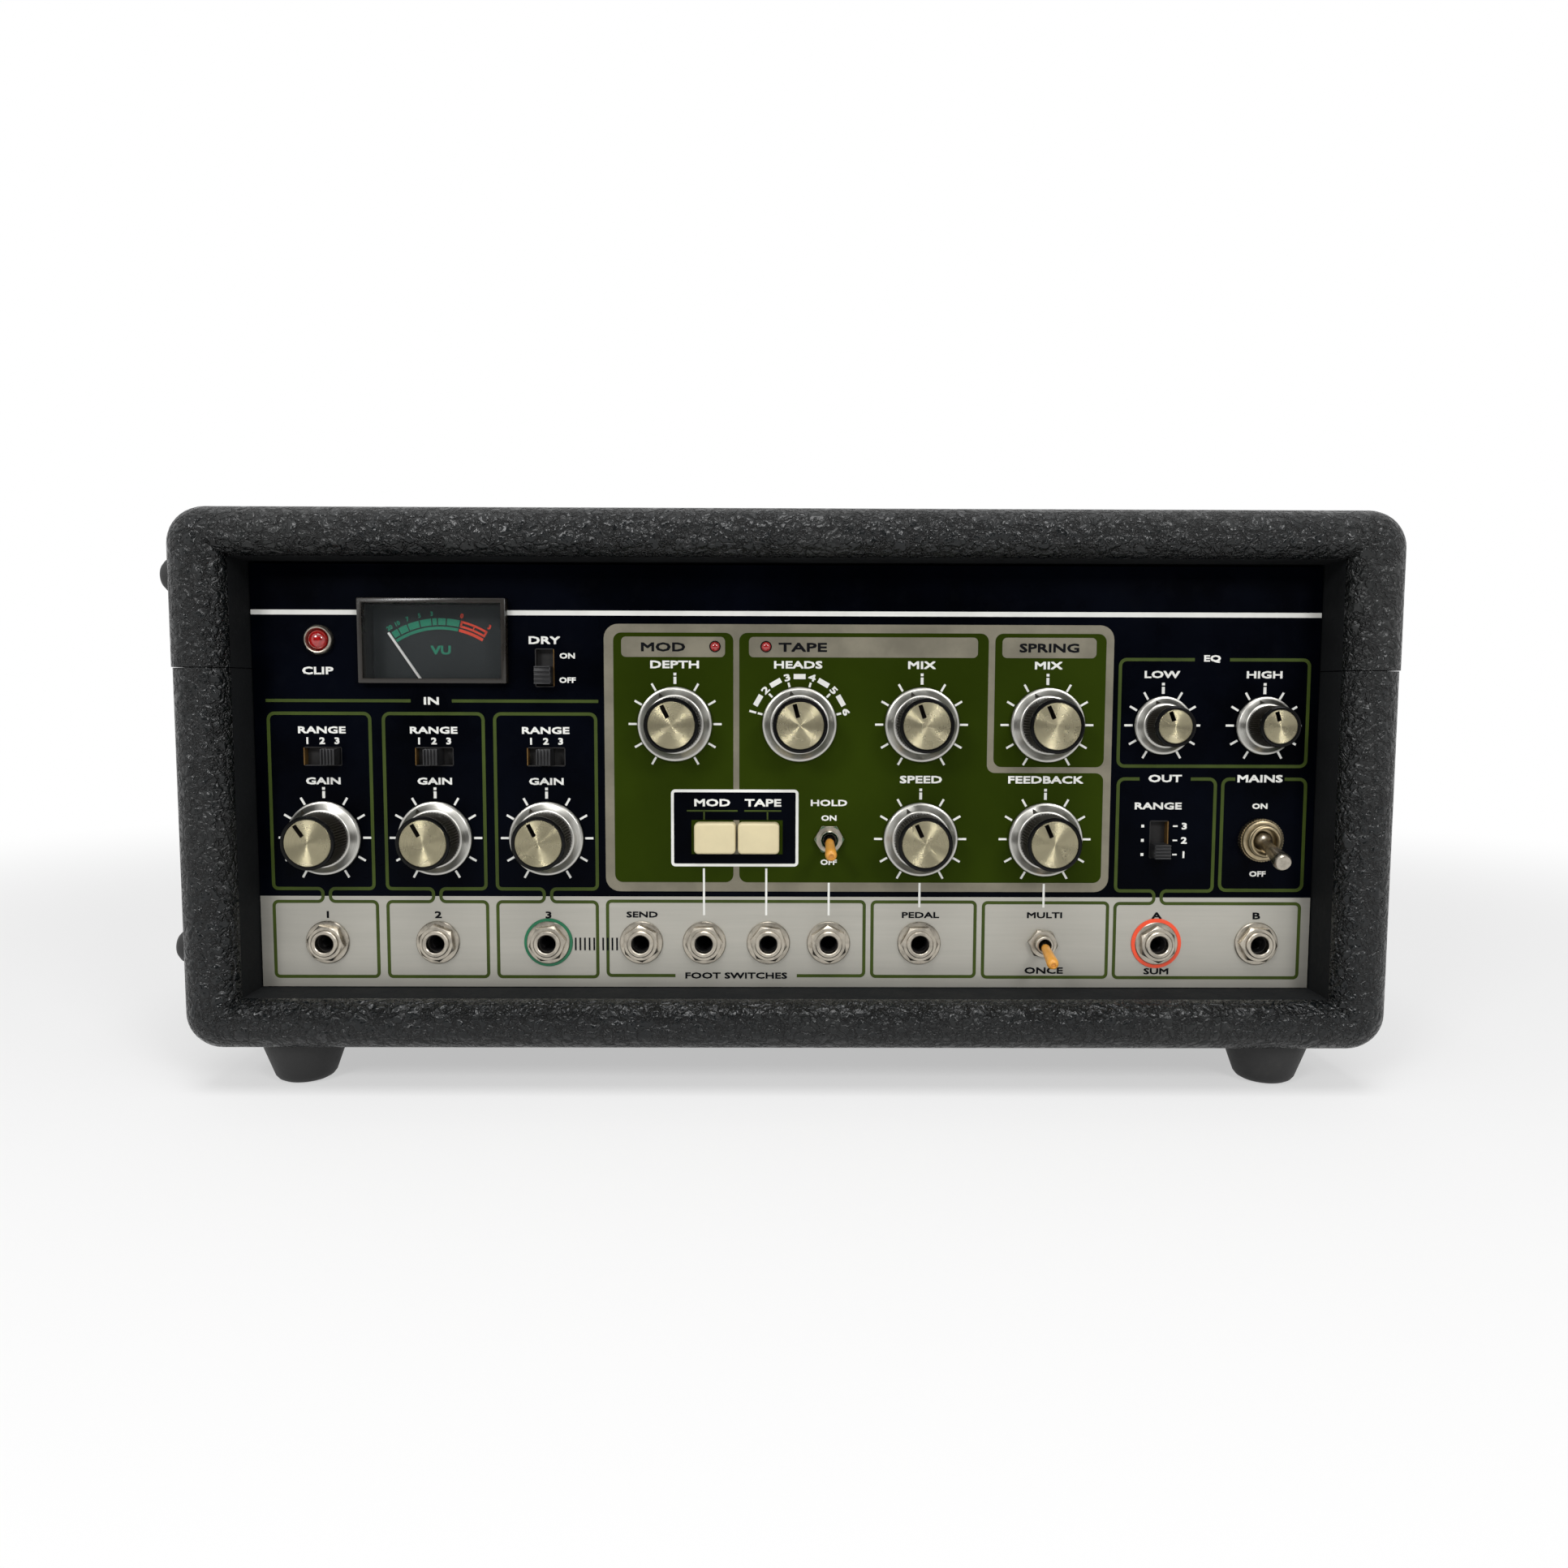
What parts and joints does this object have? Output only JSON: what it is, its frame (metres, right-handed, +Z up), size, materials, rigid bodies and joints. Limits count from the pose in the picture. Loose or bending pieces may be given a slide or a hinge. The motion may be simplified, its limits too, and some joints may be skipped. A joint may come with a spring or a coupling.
{
  "type": "tape echo unit",
  "caption": "Tape echo unit in a leatherette case: black and green front panel with knobs, switches, jacks and a level meter, and a tape loop deck under a hinged lid.",
  "frame": {"origin": "middle of the foot plane under the object's bounding box", "axes": "+X to the right seen from the front, +Y to the rear, +Z up; the front panel faces -Y"},
  "size_m": [0.4254, 0.3016, 0.201],
  "materials": {
    "leatherette": "matt grained",
    "black_rubber": "matt",
    "black_panel": "gloss print",
    "black_plastic": "matt",
    "cream_plastic": "satin",
    "orange_plastic": "satin",
    "clear_plastic": "clear",
    "red_lens": "gloss",
    "spun_aluminium": "spun",
    "nickel": "bright",
    "steel": "satin",
    "zinc_sheet": "passivated",
    "black_sheet": "satin",
    "board_green": "satin",
    "board_brown": "matt",
    "dial_grey": "matt",
    "needle_white": "matt",
    "tape_brown": "satin",
    "laminated_steel": "matt"
  },
  "bodies": {
    "case": {"back_panel": "black_sheet", "cabinet_base": "leatherette", "chassis": "zinc_sheet", "control_board": "board_brown", "cord_gland": "black_rubber", "deck_plate": "zinc_sheet", "drive_motor": "steel", "foot_front_left": "black_rubber", "foot_front_right": "black_rubber", "foot_rear_left": "black_rubber", "foot_rear_right": "black_rubber", "front_panel": "black_panel", "handle_dish": "black_plastic", "head_bridge": "steel", "hinge_base_leaf": "steel", "jack_board": "nickel", "led_left": "red_lens", "led_right": "red_lens", "main_circuit_board": "board_green", "peak_lamp": "red_lens", "power_toggle_body": "nickel", "power_transformer": "laminated_steel", "reverb_tank": "zinc_sheet", "side_foot_lower_front": "black_rubber", "side_foot_lower_rear": "black_rubber", "tape_cover": "clear_plastic", "tape_loop": "tape_brown", "vu_dial": "dial_grey", "vu_meter_case": "black_plastic", "vu_window": "clear_plastic"},
    "lid": {"cabinet_lid": "leatherette", "hinge_lid_leaf": "steel", "side_foot_upper_front": "black_rubber", "side_foot_upper_rear": "black_rubber"},
    "handle": {"handle_bail": "black_plastic"},
    "needle": {"vu_needle": "needle_white"},
    "capstan": {"capstan": "nickel"},
    "pinch_arm": {"pinch_arm": "steel"},
    "pinch_roller": {"pinch_roller": "black_rubber"},
    "power_lever": {"power_toggle_lever": "nickel"},
    "hold_lever": {"hold_toggle_lever": "orange_plastic"},
    "delay_lever": {"delay_toggle_lever": "orange_plastic"},
    "button_left": {"effect_button_left": "cream_plastic"},
    "button_right": {"effect_button_right": "cream_plastic"},
    "level_cap_1": {"level_switch_cap_1": "black_plastic"},
    "level_cap_2": {"level_switch_cap_2": "black_plastic"},
    "level_cap_3": {"level_switch_cap_3": "black_plastic"},
    "direct_cap": {"direct_switch_cap": "black_plastic"},
    "output_cap": {"output_switch_cap": "black_plastic"},
    "gain_knob_1": {"gain_knob_1": "spun_aluminium"},
    "gain_knob_2": {"gain_knob_2": "spun_aluminium"},
    "gain_knob_3": {"gain_knob_3": "spun_aluminium"},
    "depth_knob": {"depth_knob": "spun_aluminium"},
    "mode_knob": {"mode_knob": "spun_aluminium"},
    "echo_volume_knob": {"echo_volume_knob": "spun_aluminium"},
    "reverb_volume_knob": {"reverb_volume_knob": "spun_aluminium"},
    "repeat_rate_knob": {"repeat_rate_knob": "spun_aluminium"},
    "repeat_amount_knob": {"repeat_amount_knob": "spun_aluminium"},
    "bass_knob": {"bass_knob": "spun_aluminium"},
    "treble_knob": {"treble_knob": "spun_aluminium"}
  },
  "joints": [
    {"name": "lid_hinge", "type": "hinge", "parent": "case", "child": "lid", "pos_m": [0.00365, 0.14765, 0.14715], "axis": [-1, 0, 0], "range_deg": [0, 100]},
    {"name": "handle_swing", "type": "hinge", "parent": "case", "child": "handle", "pos_m": [0.20485, -0.00335, 0.098], "axis": [0, -1, 0], "range_deg": [0, 90]},
    {"name": "gain_knob_1_turn", "type": "hinge", "parent": "case", "child": "gain_knob_1", "pos_m": [-0.16015, -0.12885, 0.0875], "axis": [0, 1, 0], "range_deg": [-115, 185]},
    {"name": "gain_knob_2_turn", "type": "hinge", "parent": "case", "child": "gain_knob_2", "pos_m": [-0.12085, -0.12885, 0.0875], "axis": [0, 1, 0], "range_deg": [-121, 179]},
    {"name": "gain_knob_3_turn", "type": "hinge", "parent": "case", "child": "gain_knob_3", "pos_m": [-0.08145, -0.12885, 0.0875], "axis": [0, 1, 0], "range_deg": [-123, 177]},
    {"name": "depth_knob_turn", "type": "hinge", "parent": "case", "child": "depth_knob", "pos_m": [-0.03585, -0.12885, 0.1281], "axis": [0, 1, 0], "range_deg": [-124, 176]},
    {"name": "mode_knob_turn", "type": "hinge", "parent": "case", "child": "mode_knob", "pos_m": [0.00795, -0.12885, 0.1281], "axis": [0, 1, 0], "range_deg": [-60, 90]},
    {"name": "echo_volume_knob_turn", "type": "hinge", "parent": "case", "child": "echo_volume_knob", "pos_m": [0.05105, -0.12885, 0.1281], "axis": [0, 1, 0], "range_deg": [-131, 169]},
    {"name": "reverb_volume_knob_turn", "type": "hinge", "parent": "case", "child": "reverb_volume_knob", "pos_m": [0.09535, -0.12885, 0.1281], "axis": [0, 1, 0], "range_deg": [-126, 174]},
    {"name": "repeat_rate_knob_turn", "type": "hinge", "parent": "case", "child": "repeat_rate_knob", "pos_m": [0.05105, -0.12885, 0.0875], "axis": [0, 1, 0], "range_deg": [-125, 175]},
    {"name": "repeat_amount_knob_turn", "type": "hinge", "parent": "case", "child": "repeat_amount_knob", "pos_m": [0.09535, -0.12885, 0.0875], "axis": [0, 1, 0], "range_deg": [-126, 174]},
    {"name": "bass_knob_turn", "type": "hinge", "parent": "case", "child": "bass_knob", "pos_m": [0.13615, -0.12885, 0.1281], "axis": [0, 1, 0], "range_deg": [-130, 170]},
    {"name": "treble_knob_turn", "type": "hinge", "parent": "case", "child": "treble_knob", "pos_m": [0.17205, -0.12885, 0.1281], "axis": [0, 1, 0], "range_deg": [-134, 166]},
    {"name": "level_1_slide", "type": "slide", "parent": "case", "child": "level_cap_1", "axis": [1, 0, 0], "range_m": [-0.007, 0]},
    {"name": "level_2_slide", "type": "slide", "parent": "case", "child": "level_cap_2", "axis": [1, 0, 0], "range_m": [-0.0035, 0.0035]},
    {"name": "level_3_slide", "type": "slide", "parent": "case", "child": "level_cap_3", "axis": [1, 0, 0], "range_m": [-0.0035, 0.0035]},
    {"name": "direct_slide", "type": "slide", "parent": "case", "child": "direct_cap", "axis": [0, 0, 1], "range_m": [0, 0.0052]},
    {"name": "output_slide", "type": "slide", "parent": "case", "child": "output_cap", "axis": [0, 0, 1], "range_m": [0, 0.0078]},
    {"name": "button_left_press", "type": "slide", "parent": "case", "child": "button_left", "axis": [0, 1, 0], "range_m": [0, 0.003], "stiffness_N_per_m": 300, "springref_m": -0.002},
    {"name": "button_right_press", "type": "slide", "parent": "case", "child": "button_right", "axis": [0, 1, 0], "range_m": [0, 0.003], "stiffness_N_per_m": 300, "springref_m": -0.002},
    {"name": "power_flip", "type": "hinge", "parent": "case", "child": "power_lever", "pos_m": [0.17205, -0.13125, 0.0875], "axis": [-1, 0, 0], "range_deg": [0, 34]},
    {"name": "hold_flip", "type": "hinge", "parent": "case", "child": "hold_lever", "pos_m": [0.01865, -0.13145, 0.0875], "axis": [-1, 0, 0], "range_deg": [0, 30]},
    {"name": "delay_flip", "type": "hinge", "parent": "case", "child": "delay_lever", "pos_m": [0.09535, -0.13145, 0.05], "axis": [-1, 0, 0], "range_deg": [0, 30]},
    {"name": "needle_swing", "type": "hinge", "parent": "case", "child": "needle", "pos_m": [-0.11995, -0.12885, 0.133], "axis": [0, 1, 0], "range_deg": [0, 68]},
    {"name": "capstan_spin", "type": "hinge", "parent": "case", "child": "capstan", "pos_m": [0.09165, -0.0589, 0.127], "axis": [0, 0, 1], "continuous": true},
    {"name": "pinch_arm_lift", "type": "hinge", "parent": "case", "child": "pinch_arm", "pos_m": [0.13165, -0.04535, 0.127], "axis": [0, 0, -1], "range_deg": [0, 10], "stiffness_Nm_per_rad": 0.05, "springref_deg": -11.46},
    {"name": "pinch_roller_spin", "type": "hinge", "parent": "pinch_arm", "child": "pinch_roller", "pos_m": [0.09165, -0.0438, 0.127], "axis": [0, 0, 1], "continuous": true}
  ],
  "couplings": [
    {"joint": "pinch_roller_spin", "follows": "capstan_spin", "ratio": -0.27273}
  ]
}
